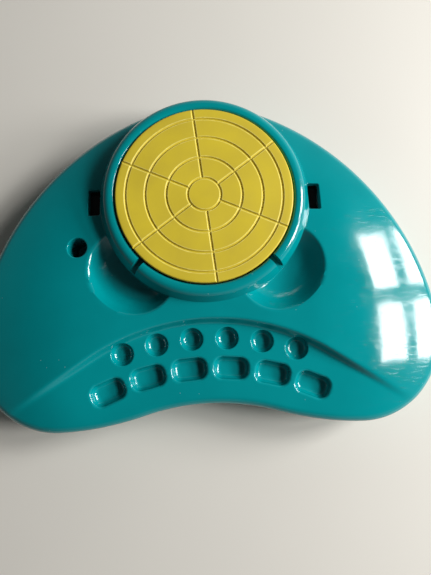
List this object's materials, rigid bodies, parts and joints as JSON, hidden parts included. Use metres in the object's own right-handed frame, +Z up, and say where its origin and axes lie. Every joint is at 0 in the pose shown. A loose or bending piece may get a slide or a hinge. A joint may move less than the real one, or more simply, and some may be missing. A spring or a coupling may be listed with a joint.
{
  "type": "toy pottery wheel",
  "caption": "Child's battery pottery wheel: kidney-shaped glossy base with paint wells, scoops and tool hole, and a grooved turntable in a raised collar.",
  "frame": {"origin": "on the table under the middle of the base's footprint", "axes": "+X to the right of the child who sits in front, +Y towards the back, +Z up"},
  "size_m": [0.418, 0.297, 0.0725],
  "materials": {
    "teal_gloss": "high-gloss moulded plastic with fine scratches",
    "wheel_yellow": "satin moulded plastic with worn groove edges",
    "base_teal": "fine-textured moulded plastic",
    "ivory_plastic": "plain moulded acetal",
    "black_plastic": "plain moulded plastic",
    "steel": "bright plated steel",
    "brass": "plated spring strip",
    "cell_jacket": "plain printed sleeve with bare metal ends",
    "lead_red": "soft insulation",
    "lead_black": "soft insulation",
    "rubber": "matt rubber"
  },
  "bodies": {
    "base": {"top_housing": "teal_gloss", "base_cover": "base_teal", "battery_tray": "black_plastic", "upper_bush": "ivory_plastic", "lower_bush": "ivory_plastic", "gear_plate": "black_plastic", "idler_shaft": "steel", "motor_can": "steel", "motor_end_cap": "ivory_plastic", "motor_terminals": "brass", "battery_cell_1": "cell_jacket", "battery_cell_2": "cell_jacket", "battery_cell_3": "cell_jacket", "battery_cell_4": "cell_jacket", "battery_link_contact": "brass", "battery_positive_contact": "brass", "battery_negative_contact": "brass", "switch_housing": "black_plastic", "switch_terminals": "brass", "battery_switch_lead": "lead_red", "switch_motor_lead": "lead_red", "motor_battery_lead": "lead_black", "rubber_foot_1": "rubber", "rubber_foot_2": "rubber", "rubber_foot_3": "rubber", "rubber_foot_4": "rubber", "housing_screws": "steel", "gear_plate_screws": "steel", "motor_screws": "steel", "tray_screws": "steel"},
    "wheel": {"turntable": "wheel_yellow", "spindle": "steel", "spindle_gear": "ivory_plastic", "spindle_clip": "steel"},
    "idler": {"idler_gear": "ivory_plastic"},
    "pinion": {"motor_pinion": "brass", "motor_shaft": "steel"},
    "door": {"battery_door": "base_teal"},
    "rocker": {"switch_rocker": "black_plastic"}
  },
  "joints": [
    {"name": "wheel_spin", "type": "hinge", "parent": "base", "child": "wheel", "pos_m": [0, 0.0475, 0.06], "axis": [0, 0, 1], "continuous": true},
    {"name": "idler_spin", "type": "hinge", "parent": "base", "child": "idler", "pos_m": [0, 0.08365, 0.045], "axis": [0, 0, 1], "continuous": true},
    {"name": "motor_spin", "type": "hinge", "parent": "base", "child": "pinion", "pos_m": [0.02091, 0.09573, 0.042], "axis": [0, 0, 1], "continuous": true},
    {"name": "battery_door_hinge", "type": "hinge", "parent": "base", "child": "door", "pos_m": [0, -0.0655, 0.0054], "axis": [1, 0, 0], "range_deg": [0, 85]},
    {"name": "switch_rock", "type": "hinge", "parent": "base", "child": "rocker", "pos_m": [0.11706, 0.0905, 0.02], "axis": [0, 0, 1], "range_deg": [0, 18]}
  ],
  "couplings": [
    {"joint": "idler_spin", "follows": "wheel_spin", "ratio": -5},
    {"joint": "motor_spin", "follows": "wheel_spin", "ratio": 20}
  ]
}
